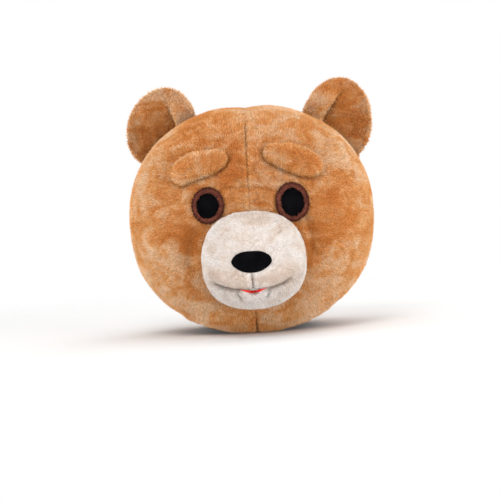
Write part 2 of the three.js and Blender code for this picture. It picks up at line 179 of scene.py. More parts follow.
def addNoise(tree, place, scale, detail, output="Fac", **more):
    values = {"Vector": place, "Scale": scale, "Detail": detail, **more}
    return addNode(tree, "ShaderNodeTexNoise", values).outputs[output]


def addRead(tree, label, output="Fac"):
    return addNode(tree, "ShaderNodeAttribute", attribute_name=label).outputs[output]


def newMaterial(name):
    material = bpy.data.materials.new(name)
    material.use_nodes = True
    return material, material.node_tree, material.node_tree.nodes["Principled BSDF"]


def makeStage(values):
    shape = bmesh.new()
    bmesh.ops.create_circle(shape, cap_ends=True, segments=64, radius=values["floorRadius"])
    floorMesh = bpy.data.meshes.new("floor")
    shape.to_mesh(floorMesh)
    shape.free()
    floor = addObject("floor", floorMesh)
    material, tree, shader = newMaterial("paleFloor")
    away = addVector(tree, "LENGTH", addNode(tree, "ShaderNodeTexCoord").outputs["Object"])
    fillInputs(tree, shader, {
        "Base Color": values["floorColour"],
        "Roughness": values["floorRoughness"],
        "Alpha": addRange(tree, away, values["fadeFrom"], values["fadeTo"], 1.0, 0.0, "SMOOTHSTEP"),
    })
    floorMesh.materials.append(material)
    world = bpy.data.worlds.new("studio")
    world.use_nodes = True
    sky = world.node_tree
    seen = addNode(sky, "ShaderNodeLightPath").outputs["Is Camera Ray"]
    strength = addRange(sky, seen, toLow=values["ambient"])
    fillInputs(sky, sky.nodes["Background"], {"Color": (1, 1, 1, 1), "Strength": strength})
    scene.world = world
    scene.view_settings.view_transform = "Standard"


makeCamera(cameraValues)
makeLights(lightValues)
makeStage(stageValues)
print("camera, lights and floor made")


# Shared shader groups

def newGroup(name, kind, inputs, outputs):
    group = bpy.data.node_groups.new(name, kind)
    for label, socketKind in inputs:
        group.interface.new_socket(label, in_out="INPUT", socket_type="NodeSocket" + socketKind)
    for label, socketKind in outputs:
        group.interface.new_socket(label, in_out="OUTPUT", socket_type="NodeSocket" + socketKind)
    return group, group.nodes.new("NodeGroupInput").outputs, group.nodes.new("NodeGroupOutput")


mottleValues = {  # brushed patches: wide ones with finer ones in them
    "stretch": (1.0, 1.0, 1.6),
    "wide": {"Roughness": 0.6, "Distortion": 1.1},
    "fine": {"Roughness": 0.65},
    "detail": 3.0,
    "finer": 3.4,
    "fineShare": 0.3,
    "darkFrom": 0.34,
    "lightFrom": 0.66,
}


def makeMottle(values):
    group, given, out = newGroup("brushedPatches", "ShaderNodeTree", [
        ("Place", "Vector"),
        ("Light", "Color"),
        ("Middle", "Color"),
        ("Dark", "Color"),
        ("Patches per metre", "Float"),
        ("Lightness", "Float"),
    ], [("Colour", "Color")])
    stretched = addNode(group, "ShaderNodeMapping", {"Vector": given["Place"], "Scale": values["stretch"]})
    perMetre = given["Patches per metre"]
    wide = addNoise(group, stretched.outputs["Vector"], perMetre, values["detail"], **values["wide"])
    finer = addMath(group, "MULTIPLY", perMetre, values["finer"])
    fine = addNoise(group, given["Place"], finer, values["detail"], **values["fine"])
    both = addMix(group, "FLOAT", values["fineShare"], wide, fine)
    lifted = addMath(group, "ADD", both, given["Lightness"])
    patch = addRange(group, lifted, values["darkFrom"], values["lightFrom"], kind="SMOOTHSTEP")
    darker = addMix(group, "RGBA", addRange(group, patch, 0.0, 0.5), given["Dark"], given["Middle"])
    lighter = addMix(group, "RGBA", addRange(group, patch, 0.5, 1.0), darker, given["Light"])
    fillInputs(group, out, {"Colour": lighter})
    return group


tuftValues = {
    "rootReach": 0.75,  # how far up a tuft the painted shade of its root goes
    "deepFrom": 0.3,
    "deepest": 1.35,  # a tuft darkened by painted shade and its random tone is deeper in colour by this gamma
}


# Darkens each tuft: painted shade towards its root, a random tone per tuft, and an attribute that holds
# painted shade in seams, creases, folds and beside the head, and on the eye rings the darker fray of the
# band. The bare cloth takes the painted shade of the roots.
def makeTuftShade(values):
    group, given, out = newGroup("tuftShade", "ShaderNodeTree", [
        ("Colour", "Color"),
        ("Root", "Float"),
        ("Spread", "Float"),
        ("Hollow", "Float"),
    ], [("Colour", "Color")])
    fromRoot = addRange(group, addRead(group, "along"), 0.0, values["rootReach"], given["Root"])
    tuft = addMath(group, "MULTIPLY", addRead(group, "shade"), given["Spread"])
    bright = addMath(group, "ADD", tuft, 1.0)
    sunk = addMath(group, "MULTIPLY", addRead(group, "hollow"), given["Hollow"])
    lit = addMath(group, "MULTIPLY", fromRoot, bright)
    whole = addMath(group, "MULTIPLY", lit, addMath(group, "SUBTRACT", 1.0, sunk))
    deepening = addRange(group, whole, values["deepFrom"], 1.0, values["deepest"], 1.0)
    deeper = addNode(group, "ShaderNodeGamma", {"Color": given["Colour"], "Gamma": deepening})
    fillInputs(group, out, {"Colour": addScale(group, deeper.outputs["Color"], whole)})
    return group


normalValues = {"turnedAway": -0.05, "facing": 0.45}


def makeSoftNormal(values):  # a tuft is lit as the cloth under it, unless its face turns away from the cloth
    group, given, out = newGroup("softNormal", "ShaderNodeTree", [
        ("Softness", "Float"),
    ], [("Normal", "Vector")])
    skin = addRead(group, "skinNormal", "Vector")
    own = addNode(group, "ShaderNodeNewGeometry").outputs["True Normal"]
    agree = addVector(group, "DOT_PRODUCT", skin, own)
    share = addRange(group, agree, values["turnedAway"], values["facing"], 0.0, given["Softness"])
    mixed = addMix(group, "VECTOR", share, own, skin)
    fillInputs(group, out, {"Normal": addVector(group, "NORMALIZE", mixed)})
    return group


weaveValues = {"distortion": 0.6, "detail": 1.0, "wearScale": 55.0, "wearDetail": 4.0}


def makeWeave(values):
    group, given, out = newGroup("weave", "ShaderNodeTree", [
        ("Place", "Vector"),
        ("Threads per metre", "Float"),
    ], [("Height", "Float"), ("Wear", "Float")])
    waves = [
        addNode(group, "ShaderNodeTexWave", {
            "Vector": given["Place"],
            "Scale": given["Threads per metre"],
            "Distortion": values["distortion"],
            "Detail": values["detail"],
        }, bands_direction=direction).outputs["Fac"]
        for direction in ("X", "Z")
    ]
    fillInputs(group, out, {
        "Height": addMath(group, "MAXIMUM", *waves),
        "Wear": addNoise(group, given["Place"], values["wearScale"], values["wearDetail"]),
    })
    return group


mottle = makeMottle(mottleValues)
tuftShade = makeTuftShade(tuftValues)
softNormal = makeSoftNormal(normalValues)
weave = makeWeave(weaveValues)


# Materials

def setSheen(tree, shader, weight, tint):
    fillInputs(tree, shader, {"Sheen Weight": weight, "Sheen Roughness": 0.45, "Sheen Tint": (*tint, 1)})


def plushMaterial(name, values, tufted):
    material, tree, shader = newMaterial(name)
    place = addNode(tree, "ShaderNodeTexCoord").outputs["Object"]
    # An attribute lifts or lowers the brushed patches: in part the brushed tone of the nap, in part painted
    # light and painted shade, paler where light falls and deeper where shade falls.
    pale = addRead(tree, "pale")
    patches = addNode(tree, "ShaderNodeGroup", {
        "Place": place,
        **{label: (*values[label.lower()], 1) for label in ("Light", "Middle", "Dark")},
        "Patches per metre": values["patches"],
        "Lightness": addMath(tree, "MULTIPLY_ADD", pale, values["paleness"], values["lightness"]),
    }, node_tree=mottle)
    shaded = addNode(tree, "ShaderNodeGroup", {
        "Colour": patches.outputs["Colour"],
        **{label: values[label.lower()] for label in ("Root", "Spread", "Hollow")},
    }, node_tree=tuftShade)
    fillInputs(tree, shader, {
        "Base Color": shaded.outputs["Colour"],
        "Roughness": values["roughness"],
        "Specular IOR Level": values["gloss"],
    })
    if tufted:
        setSheen(tree, shader, values["sheen"], values["light"])
        normal = addNode(tree, "ShaderNodeGroup", {"Softness": values["softness"]}, node_tree=softNormal)
    else:
        grain = addNoise(tree, place, values["grain"], 4.0)
        relief = {"Height": grain, "Distance": values["relief"], "Strength": 0.7}
        normal = addNode(tree, "ShaderNodeBump", relief)
    fillInputs(tree, shader, {"Normal": normal.outputs["Normal"]})
    return material


plushFinish = {
    "roughness": 0.92,
    "gloss": 0.15,
    "relief": 0.0008,
    "paleness": 0.1,
    # how strongly painted shade darkens the cloth and its tufts
    "hollow": 0.5,
    "lightness": 0.0,
}
tanFinish = {
    **plushFinish,
    "light": (0.90, 0.61, 0.38),
    "middle": (0.83, 0.425, 0.165),
    "dark": (0.73, 0.29, 0.075),
    "patches": 18.0,
    "root": 0.66,
    "spread": 0.17,
    "sheen": 0.55,
    "softness": 0.85,
    "grain": 420.0,
}
creamFinish = {
    **plushFinish,
    "light": (0.84, 0.785, 0.75),
    "middle": (0.79, 0.70, 0.635),
    "dark": (0.70, 0.575, 0.49),
    "patches": 16.0,
    "lightness": 0.02,
    "root": 0.86,
    "spread": 0.08,
    "sheen": 0.15,
    "softness": 0.9,
    "grain": 520.0,
}
brownFinish = {
    **plushFinish,
    "light": (0.34, 0.12, 0.08),
    "middle": (0.26, 0.086, 0.058),
    "dark": (0.15, 0.046, 0.033),
    "patches": 70.0,
    "lightness": 0.05,
    "root": 0.6,
    "spread": 0.3,
    # how much darker the frayed outer edge of the band is
    "hollow": 0.65,
    "sheen": 0.15,
    "softness": 0.6,
    "grain": 700.0,
}
tanSkin = plushMaterial("tanCloth", tanFinish, False)
tanPile = plushMaterial("tanPile", tanFinish, True)
creamSkin = plushMaterial("creamCloth", creamFinish, False)
creamPile = plushMaterial("creamPile", creamFinish, True)
brownSkin = plushMaterial("brownCloth", brownFinish, False)
brownPile = plushMaterial("brownPile", brownFinish, True)


def clothMaterial(name, values):
    material, tree, shader = newMaterial(name)
    woven = addNode(tree, "ShaderNodeGroup", {
        "Place": addNode(tree, "ShaderNodeTexCoord").outputs["Object"],
        "Threads per metre": values["threads"],
    }, node_tree=weave)
    wear = woven.outputs["Wear"]
    worn = addRange(tree, wear, 0.35, 0.65)
    relief = {"Height": woven.outputs["Height"], "Distance": values["relief"], "Strength": 0.6}
    fillInputs(tree, shader, {
        "Base Color": addMix(tree, "RGBA", worn, (*values["dark"], 1), (*values["light"], 1)),
        "Roughness": addRange(tree, wear, 0.0, 1.0, values["roughness"] - 0.08, values["roughness"] + 0.08),
        "Specular IOR Level": values["gloss"],
        "Normal": addNode(tree, "ShaderNodeBump", relief).outputs["Normal"],
    })
    setSheen(tree, shader, values["sheen"], values["light"])
    return material


noseCloth = clothMaterial("blackCloth", {
    "light": (0.003, 0.003, 0.004), "dark": (0.001, 0.001, 0.0015),
    "threads": 500.0, "roughness": 0.85, "sheen": 0.0, "relief": 0.0003, "gloss": 0.03,
})
netThread = clothMaterial("netThread", {
    "light": (0.007, 0.006, 0.008), "dark": (0.002, 0.002, 0.003),
    "threads": 1200.0, "roughness": 0.6, "sheen": 0.0, "relief": 0.0001, "gloss": 0.06,
})
redFelt = clothMaterial("redFelt", {
    "light": (0.86, 0.03, 0.02), "dark": (0.66, 0.012, 0.01),
    "threads": 700.0, "roughness": 0.9, "sheen": 0.1, "relief": 0.0003, "gloss": 0.2,
})
liningCloth = clothMaterial("liningCloth", {
    "light": (0.035, 0.032, 0.032), "dark": (0.02, 0.018, 0.018),
    "threads": 450.0, "roughness": 0.9, "sheen": 0.1, "relief": 0.0004, "gloss": 0.2,
})
seamThread = clothMaterial("seamThread", {
    "light": (0.30, 0.17, 0.09), "dark": (0.16, 0.08, 0.04),
    "threads": 1500.0, "roughness": 0.7, "sheen": 0.05, "relief": 0.0001, "gloss": 0.3,
})
print("materials made")


# Mesh helpers

def newPiece(name, shape=None):
    mesh = bpy.data.meshes.new(name)
    if shape:
        shape.to_mesh(mesh)
        shape.free()
    return addObject(name, mesh)


def weldedShape(nodeName):
    shape = bmesh.new()
    shape.from_mesh(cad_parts[nodeName].data)
    bmesh.ops.remove_doubles(shape, verts=shape.verts, dist=mask["weld"])
    return shape


def treeOf(shape):
    tree = BVHTree.FromBMesh(shape)
    shape.free()
    return tree


def applyModifiers(piece):
    evaluated = piece.evaluated_get(bpy.context.evaluated_depsgraph_get())
    finished = bpy.data.meshes.new_from_object(evaluated)
    finished.materials.clear()
    before = piece.data
    piece.modifiers.clear()
    piece.data = finished
    bpy.data.meshes.remove(before)


def edited(piece, change):
    shape = bmesh.new()
    shape.from_mesh(piece.data)
    change(shape)
    shape.normal_update()
    shape.to_mesh(piece.data)
    shape.free()
    piece.data.update()


def smoothShape(shape, verts, rounds):
    axes = {"use_axis_x": True, "use_axis_y": True, "use_axis_z": True}
    for _ in range(rounds):
        bmesh.ops.smooth_vert(shape, verts=verts, factor=0.5, **axes)


def refined(shape):  # one subdivision, rounded
    bmesh.ops.subdivide_edges(shape, edges=shape.edges, cuts=1, use_grid_fill=True)
    smoothShape(shape, shape.verts, 2)


def moveAll(shape, moveOf):  # each move is worked out before the first one is made
    shape.normal_update()
    moves = [(vert, moveOf(vert)) for vert in shape.verts]
    for vert, move in moves:
        vert.co += move


def finishPiece(piece, materials, nodeNames=()):
    for material in materials:
        piece.data.materials.append(material)
    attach(piece, "root")
    if nodeNames:
        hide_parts(*nodeNames)
    print(piece.name, "has", len(piece.data.polygons), "faces")


def shadeSmooth(piece):
    for polygon in piece.data.polygons:
        polygon.use_smooth = True


def setAttribute(piece, label, values, kind="FLOAT"):
    attribute = piece.data.attributes.new(label, kind, "POINT")
    attribute.data.foreach_set("vector" if kind == "FLOAT_VECTOR" else "value", values)


def setShades(piece, **rules):  # what each rule says of a vertex becomes the attribute of the rule's name
    for label, rule in rules.items():
        setAttribute(piece, label, [rule(vert) for vert in piece.data.vertices])


def bell(distance, spread):
    return math.exp(-((distance / spread) ** 2))


def ramp(value, low, high):
    share = min(1, max(0, (value - low) / (high - low)))
    return share * share * (3 - 2 * share)


def nearLine(x, z, line):
    best = 1.0
    for (x1, z1), (x2, z2) in zip(line, line[1:]):
        length = (x2 - x1) ** 2 + (z2 - z1) ** 2
        share = min(1, max(0, ((x - x1) * (x2 - x1) + (z - z1) * (z2 - z1)) / length))
        best = min(best, math.hypot(x - x1 - share * (x2 - x1), z - z1 - share * (z2 - z1)))
    return best


def simulatePadding(piece, values, sewnAt):  # swells the cloth as stuffing does, held where it is sewn
    start = [vert.co.copy() for vert in piece.data.vertices]
    sewn = piece.vertex_groups.new(name="sewn")
    for vert in piece.data.vertices:
        if sewnAt(vert.co):
            sewn.add([vert.index], 1, "REPLACE")
    cloth = piece.modifiers.new("stuffing", "CLOTH")
    cloth.settings.quality = 5
    cloth.settings.use_pressure = True
    cloth.settings.uniform_pressure_force = values["pressure"]
    cloth.settings.shrink_min = -values["spareCloth"]
    cloth.settings.effector_weights.gravity = 0
    cloth.settings.vertex_group_mass = "sewn"
    cloth.point_cache.frame_start = 1
    cloth.point_cache.frame_end = values["frames"]
    for number in range(1, values["frames"] + 1):
        scene.frame_set(number)
    applyModifiers(piece)
    scene.frame_set(1)
    for vert, before in zip(piece.data.vertices, start):
        move = vert.co - before
        if move.length > values["mostMove"]:
            vert.co = before + move * (values["mostMove"] / move.length)
    piece.vertex_groups.clear()


nodeTrees = {name: treeOf(weldedShape(name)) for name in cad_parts}
sewnOn = [name for name in nodeTrees if name not in ("head_shell", "mouth_lining", "nose")]
print("helpers ready")


# Pile: short tufts that stand on the cloth, made by one Geometry Nodes group

pileMeasures = ("spacing", "length", "width", "lean", "swirl", "swirls", "curl", "curls", "rows")
pileShape = {
    "nearest": 0.72,  # the least distance between tufts, in spacings
    "crowding": 1.9,
    "shortest": 0.7,
    "longest": 1.25,
    "drift": 5.0,
    "mapMargin": 0.15,  # the part of its square on the map that a tuft leaves free on each side
}


def makePileGroup(values):
    group, given, out = newGroup("pile", "GeometryNodeTree", [
        ("cloth", "Geometry"),
        *[(label, "Float") for label in pileMeasures],
        ("seed", "Int"),
    ], [("tufts", "Geometry")])

    def read(label, kind="FLOAT"):
        made = addNode(group, "GeometryNodeInputNamedAttribute", {"Name": label}, data_type=kind)
        return made.outputs["Attribute"]

    def store(geometry, label, value, kind="FLOAT", domain="POINT"):
        return addNode(group, "GeometryNodeStoreNamedAttribute", {
            "Geometry": geometry, "Name": label, "Value": value,
        }, data_type=kind, domain=domain).outputs["Geometry"]

    squared = addMath(group, "POWER", given["spacing"], 2.0)
    points = addNode(group, "GeometryNodeDistributePointsOnFaces", {
        "Mesh": given["cloth"],
        "Distance Min": addMath(group, "MULTIPLY", given["spacing"], values["nearest"]),
        "Density Max": addMath(group, "DIVIDE", values["crowding"], squared),
        "Density Factor": read("share"),
        "Seed": given["seed"],
    }, distribute_method="POISSON")
    normal = points.outputs["Normal"]
    place = addNode(group, "GeometryNodeInputPosition").outputs["Position"]

    def drift(perMetre, amount):
        waves = addNoise(group, place, given[perMetre], 2.0, "Color")
        centred = addVector(group, "SUBTRACT", waves, (0.5, 0.5, 0.5))
        return addScale(group, centred, addMath(group, "MULTIPLY", given[amount], values["drift"]))

    flow = addVector(group, "ADD", read("nap", "FLOAT_VECTOR"), drift("swirls", "swirl"))
    curled = addVector(group, "ADD", flow, drift("curls", "curl"))
    rising = addVector(group, "DOT_PRODUCT", curled, normal)
    flat = addVector(group, "SUBTRACT", curled, addScale(group, normal, rising))
    pointing = addVector(group, "ADD", addScale(group, flat, given["lean"]), normal)
    upright = addNode(group, "FunctionNodeAlignRotationToVector", {"Vector": pointing}, axis="Z")
    twist = addNode(group, "FunctionNodeRandomValue", {"Max": 6.283, "Seed": 3}, data_type="FLOAT").outputs[1]
    twisted = addNode(group, "FunctionNodeAxisAngleToRotation", {"Axis": (0, 0, 1), "Angle": twist})
    turned = addNode(group, "FunctionNodeRotateRotation", {
        "Rotation": upright.outputs["Rotation"],
        "Rotate By": twisted.outputs["Rotation"],
    }, rotation_space="LOCAL")
    lengths = {2: values["shortest"], 3: values["longest"], "Seed": 5}
    luck = addNode(group, "FunctionNodeRandomValue", lengths, data_type="FLOAT").outputs[1]
    grown = addMath(group, "MULTIPLY", given["length"], luck)
    size = addNode(group, "ShaderNodeCombineXYZ", {
        "X": given["width"],
        "Y": given["width"],
        "Z": addMath(group, "MULTIPLY", grown, read("tall")),
    })
    shades = {2: -1.0, 3: 1.0, "Seed": 7}
    shade = addNode(group, "FunctionNodeRandomValue", shades, data_type="FLOAT").outputs[1]
    number = addNode(group, "GeometryNodeInputIndex").outputs[0]
    stored = store(points.outputs["Points"], "shade", shade)
    stored = store(stored, "skinNormal", normal, "FLOAT_VECTOR")
    stored = store(stored, "tuft", number)
    cone = addNode(group, "GeometryNodeMeshCone", {
        "Vertices": 3,
        "Radius Top": 0.0,
        "Radius Bottom": 1.0,
        "Depth": 1.0,
    }, fill_type="NONE")
    corner = addNode(group, "GeometryNodeInputPosition").outputs["Position"]
    parts = addNode(group, "ShaderNodeSeparateXYZ", {0: corner}).outputs
    angle = addMath(group, "ARCTAN2", parts["Y"], parts["X"])
    tuftShape = store(cone.outputs["Mesh"], "along", parts["Z"])
    tuftShape = store(tuftShape, "side", addRange(group, angle, -math.pi, math.pi))
    tufts = addNode(group, "GeometryNodeInstanceOnPoints", {
        "Points": stored,
        "Instance": tuftShape,
        "Rotation": turned.outputs["Rotation"],
        "Scale": size.outputs["Vector"],
    })
    real = addNode(group, "GeometryNodeRealizeInstances", {"Geometry": tufts.outputs["Instances"]})
    column = addMath(group, "MODULO", read("tuft"), given["rows"])
    row = addMath(group, "FLOOR", addMath(group, "DIVIDE", read("tuft"), given["rows"]))
    spots = []
    for start, label in ((column, "side"), (row, "along")):
        margin = values["mapMargin"]
        within = addMath(group, "MULTIPLY_ADD", read(label), 1 - 2 * margin, margin)
        spots.append(addMath(group, "DIVIDE", addMath(group, "ADD", start, within), given["rows"]))
    flatPlace = addNode(group, "ShaderNodeCombineXYZ", {"X": spots[0], "Y": spots[1]}).outputs["Vector"]
    mapped = store(real.outputs["Geometry"], "OFBake", flatPlace, "FLOAT2", "CORNER")
    fillInputs(group, out, {"tufts": mapped})
    return group


pileGroup = makePileGroup(pileShape)
spareAttributes = ("side", "tuft", "share", "tall", "nap")
tuftPile = {
    "spacing": 0.00142, "length": 0.0042, "width": 0.0009, "lean": 0.5, "nap": 0.4, "swirl": 0.35,
    "swirls": 20.0, "curl": 0.75, "curls": 430.0,
}


def growPile(cloth, name, values, material, within, shareAt=None, napAt=None, tallAt=None):
    shape = bmesh.new()
    shape.from_mesh(cloth.data)
    bmesh.ops.delete(shape, geom=[face for face in shape.faces if not within(face)], context="FACES")
    pile = newPiece(name, shape)
    verts = pile.data.vertices
    naps = [number for vert in verts for number in (napAt(vert) if napAt else (0, 0, -values["nap"]))]
    setAttribute(pile, "nap", naps, "FLOAT_VECTOR")
    setShades(pile, share=shareAt or (lambda vert: 1), tall=tallAt or (lambda vert: 1))
    grown = pile.modifiers.new("pile", "NODES")
    grown.node_group = pileGroup
    for item in pileGroup.interface.items_tree:
        if item.in_out == "INPUT" and item.name in values:
            grown[item.identifier] = values[item.name]
    applyModifiers(pile)
    for label in spareAttributes:
        if label in pile.data.attributes:
            pile.data.attributes.remove(pile.data.attributes[label])
    for vert in pile.data.vertices:  # tufts bend where they meet the floor
        vert.co.z = max(vert.co.z, mask["floorGap"])
    finishPiece(pile, [material])


# The photo's muzzle is narrower at the wearer's right and shorter below than its solids
muzzleFit = {"narrow": 0.055, "narrowFrom": 0.01, "narrowTo": 0.08, "shorten": 0.14, "shortenBelow": -0.108}
muzzleNodes = ("muzzle", "lower_lip")


def fitted(point, inverse=False):
    x, z = acrossUp(point)
    narrow = 1 - muzzleFit["narrow"] * ramp(-x, muzzleFit["narrowFrom"], muzzleFit["narrowTo"])
    shorten = 1 - muzzleFit["shorten"] if z < muzzleFit["shortenBelow"] else 1
    below = z - muzzleFit["shortenBelow"]
    if inverse:
        narrow = 1 / narrow
        shorten = 1 / shorten
    height = muzzleFit["shortenBelow"] + below * shorten
    return headMiddle + Vector((x * narrow, point.y - headMiddle.y, height))


def covered(point, normal, besides=()):  # whether another sewn piece lies over this spot
    start = point + normal * mask["coverLift"]
    onMuzzle = fitted(start, True)
    return any(
        nodeTrees[name].ray_cast(onMuzzle if name in muzzleNodes else start, normal, mask["coverReach"])[0]
        for name in sewnOn if name not in besides
    )


# Head

headValues = {
    "subdivisions": 6,
    "reach": 0.6,
    "leastRadius": 0.11,
    "unseenSmoothing": 60,
    "smoothing": 20,
    "rimHeight": 0.03,  # the rim below it keeps its sharper form
    "rimSmoothing": 3,
    "eyeFrom": -0.04,  # a hole is cut only beyond this distance from its middle, outwards
    "neckFrom": 0.08,
    "middleWeld": 0.0008,
    "edgeWeld": 0.0002,
    "fitMargin": 0.012,  # how far round a hole its edge is looked for
    "sewnMargin": 0.006,
    "rimMargin": 0.004,
    "seamHalfWidth": 0.0022,
    "seamDepth": 0.0042,
    # painted shade in the seam, along the pressed lines and round and under the brows
    "seamShade": 0.6,
    "faceFade": (0.0, 0.05),
    "lineShadeWidth": 0.7,
    "browShade": 0.5,
    "underBrowShade": 0.45,
    "underBrowFade": (-0.002, 0.002),
    "browReach": 0.012,
    "browShadeWidth": 0.003,
    "padding": {"pressure": 3.0, "spareCloth": 0.02, "frames": 16, "mostMove": 0.005},
    "pile": {
        **tuftPile, "rows": 240.0, "seed": 11,
        "seamBare": 0.9, "seamBareWidth": 0.0018,
        "seamShort": 0.3, "seamShortWidth": 0.005, "hollowShort": 0.5,
        "napTilt": 0.3, "napOut": 0.35, "napBack": 0.15, "napUp": 0.3,
    },
}

# The seam's shares of its depth, and the heights from the middle of the head between which they fade
seamValues = {
    "foreheadLeast": 0.6, "foreheadMore": 0.4, "foreheadFade": (0.03, 0.11), "crownFade": (0.14, 0.165),
    "chinFade": (-0.16, -0.13), "rimFade": (0.003, 0.012), "faceShare": 0.12, "backShare": 0.5,
}

# Lines pressed into the face: points across and up from the middle of the head, depth, width and painted
# shade
pressedLines = [
    ([(-0.034, 0.0525), (-0.012, 0.054), (0.0, 0.052)], 0.0026, 0.0034, 0.3),
    ([(0.0, 0.052), (0.02, 0.0505), (0.038, 0.046)], 0.0022, 0.0034, 0.25),
    ([(-0.016, 0.063), (-0.002, 0.053)], 0.0018, 0.0026, 0.3),
    ([(-0.013, 0.112), (-0.002, 0.105)], 0.0014, 0.0026, 0.2),
    ([(-0.012, 0.092), (-0.002, 0.087)], 0.0014, 0.0026, 0.2),
    ([(0.012, 0.081), (0.002, 0.073)], 0.0014, 0.0026, 0.2),
    ([(0.01, 0.123), (0.002, 0.118)], 0.0012, 0.0026, 0.15),
    ([(0.012, 0.034), (0.002, 0.029)], 0.0012, 0.0026, 0.15),
    ([(0.086, 0.002), (0.092, -0.02), (0.094, -0.05)], 0.003, 0.008, 0.25),
    ([(-0.088, -0.012), (-0.094, -0.035), (-0.096, -0.06)], 0.0025, 0.009, 0.2),
    ([(-0.02, -0.158), (-0.003, -0.149)], 0.002, 0.004, 0.2),
    ([(0.02, -0.156), (0.003, -0.149)], 0.002, 0.004, 0.2),
]


def placeOf(nodeName):  # the middle of a node that lies on the face, turned to face outwards as it does
    low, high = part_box(nodeName)
    shape = weldedShape(nodeName)
    facing = Vector()
    for face in shape.faces:
        if face.normal.y < -0.5:
            facing += face.normal * face.calc_area()
    normal = facing.normalized()
    upwards = (up - normal * normal.z).normalized()
    across = upwards.cross(normal)
    turn = Matrix((across, upwards, normal)).transposed().to_4x4()
    turn.translation = (low + high) / 2
    into = turn.inverted()
    halfWidth = max(abs((into @ vert.co).x) for vert in shape.verts)
    halfHeight = max(abs((into @ vert.co).y) for vert in shape.verts)
    shape.free()
    return {"turn": turn, "into": into, "halfWidth": halfWidth, "halfHeight": halfHeight}


eyePlaces = {side: placeOf(side + "_eye_mesh") for side in ("left", "right")}
for eyePlace in eyePlaces.values():
    eyePlace["from"] = headValues["eyeFrom"]
neckTurn = Matrix(((1, 0, 0), (0, -1, 0), (0, 0, -1))).to_4x4()
neckTurn.translation = headMiddle
neckPlace = {
    "turn": neckTurn,
    "into": neckTurn.inverted(),
    "halfWidth": mask["neckHalfWidth"],
    "halfHeight": mask["neckHalfDepth"],
    "from": headValues["neckFrom"],
}
holes = [*eyePlaces.values(), neckPlace]


def withinHole(hole, point, margin=0.0):
    local = hole["into"] @ point
    across = local.x / (hole["halfWidth"] + margin)
    along = local.y / (hole["halfHeight"] + margin)
    return local.z > hole["from"] and across ** 2 + along ** 2 < 1


def cutHoles(shape):
    doomed = [face for face in shape.faces if any(withinHole(h, face.calc_center_median()) for h in holes)]
    bmesh.ops.delete(shape, geom=doomed, context="FACES")
    fitHoles(shape)


def fitHoles(shape):  # brings the edges of the holes onto their ovals
    for vert in shape.verts:
        if not vert.is_boundary:
            continue
        for hole in holes:
            local = hole["into"] @ vert.co
            if not withinHole(hole, vert.co, headValues["fitMargin"]):
                continue
            angle = math.atan2(local.y / hole["halfHeight"], local.x / hole["halfWidth"])
            across = hole["halfWidth"] * math.cos(angle)
            along = hole["halfHeight"] * math.sin(angle)
            vert.co = hole["turn"] @ Vector((across, along, local.z))


def bisect(shape, x, weld):
    everything = shape.verts[:] + shape.edges[:] + shape.faces[:]
    bmesh.ops.bisect_plane(shape, geom=everything, dist=weld, plane_co=(x, 0, 0), plane_no=(1, 0, 0))


def radialForm(values, subdivisions, radiusAt):  # a ball brought onto the head's outer or inner face
    shape = bmesh.new()
    bmesh.ops.create_icosphere(shape, subdivisions=subdivisions, radius=1)
    bisect(shape, 0, values["middleWeld"])
    unseen = []
    for vert in shape.verts:
        direction = vert.co.normalized()
        radius = radiusAt(direction)
        if radius < values["leastRadius"]:
            unseen.append(vert)
            radius = mask["crownHeight"]
        vert.co = headMiddle + direction * radius
    smoothShape(shape, unseen, values["unseenSmoothing"])
    smoothShape(shape, shape.verts, values["rimSmoothing"])
    above = [vert for vert in shape.verts if vert.co.z > values["rimHeight"]]
    smoothShape(shape, above, values["smoothing"])
    return shape


def outerRadius(direction):
    reach = headValues["reach"]
    hit = nodeTrees["head_shell"].ray_cast(headMiddle + direction * reach, -direction)[0]
    return (hit - headMiddle).dot(direction) if hit else 0


def innerRadius(direction):
    hit = nodeTrees["head_shell"].ray_cast(headMiddle, direction)[0]
    return (hit - headMiddle).length if hit else 0


def seamStrength(point):  # the seam is deepest on the forehead and under the chin
    height = point.z - headMiddle.z
    rim = ramp(point.z, *seamValues["rimFade"])
    if point.y >= headMiddle.y:
        return seamValues["backShare"] * rim
    more = seamValues["foreheadMore"] * ramp(height, *seamValues["foreheadFade"])
    forehead = (seamValues["foreheadLeast"] + more) * (1 - ramp(height, *seamValues["crownFade"]))
    chin = 1 - ramp(height, *seamValues["chinFade"])
    return max(seamValues["faceShare"], forehead, chin) * rim


def seamLine(point, reach):
    return seamStrength(point) * bell(point.x - headMiddle.x, reach)


def faceMove(vert):  # how far the seam and the pressed lines push the cloth in
    x, z = acrossUp(vert.co)
    depth = headValues["seamDepth"] * seamStrength(vert.co) * bell(x, headValues["seamHalfWidth"])
    front = ramp(headMiddle.y - vert.co.y, *headValues["faceFade"])
    if front > 0:
        for line, lineDepth, width, _ in pressedLines:
            depth += front * lineDepth * bell(nearLine(x, z, line), width)
    return vert.normal * -depth


def hollowOnHead(vert):  # painted shade where the cloth lies deep: seams, pressed lines, round the brows and most of all under them
    point = vert.co
    x, z = acrossUp(point)
    dark = headValues["seamShade"] * seamLine(point, headValues["seamHalfWidth"])
    if point.y < headMiddle.y:
        for line, _, width, shade in pressedLines:
            dark = max(dark, shade * bell(nearLine(x, z, line), headValues["lineShadeWidth"] * width))
        for name in ("left_brow", "right_brow"):
            spot, _, _, near = nodeTrees[name].find_nearest(point, headValues["browReach"])
            if near is not None:
                under = headValues["underBrowShade"] * ramp(spot.z - point.z, *headValues["underBrowFade"])
                away = bell(max(0, near - mask["headSkinDepth"]), headValues["browShadeWidth"])
                dark = max(dark, (headValues["browShade"] + under) * away)
    return dark
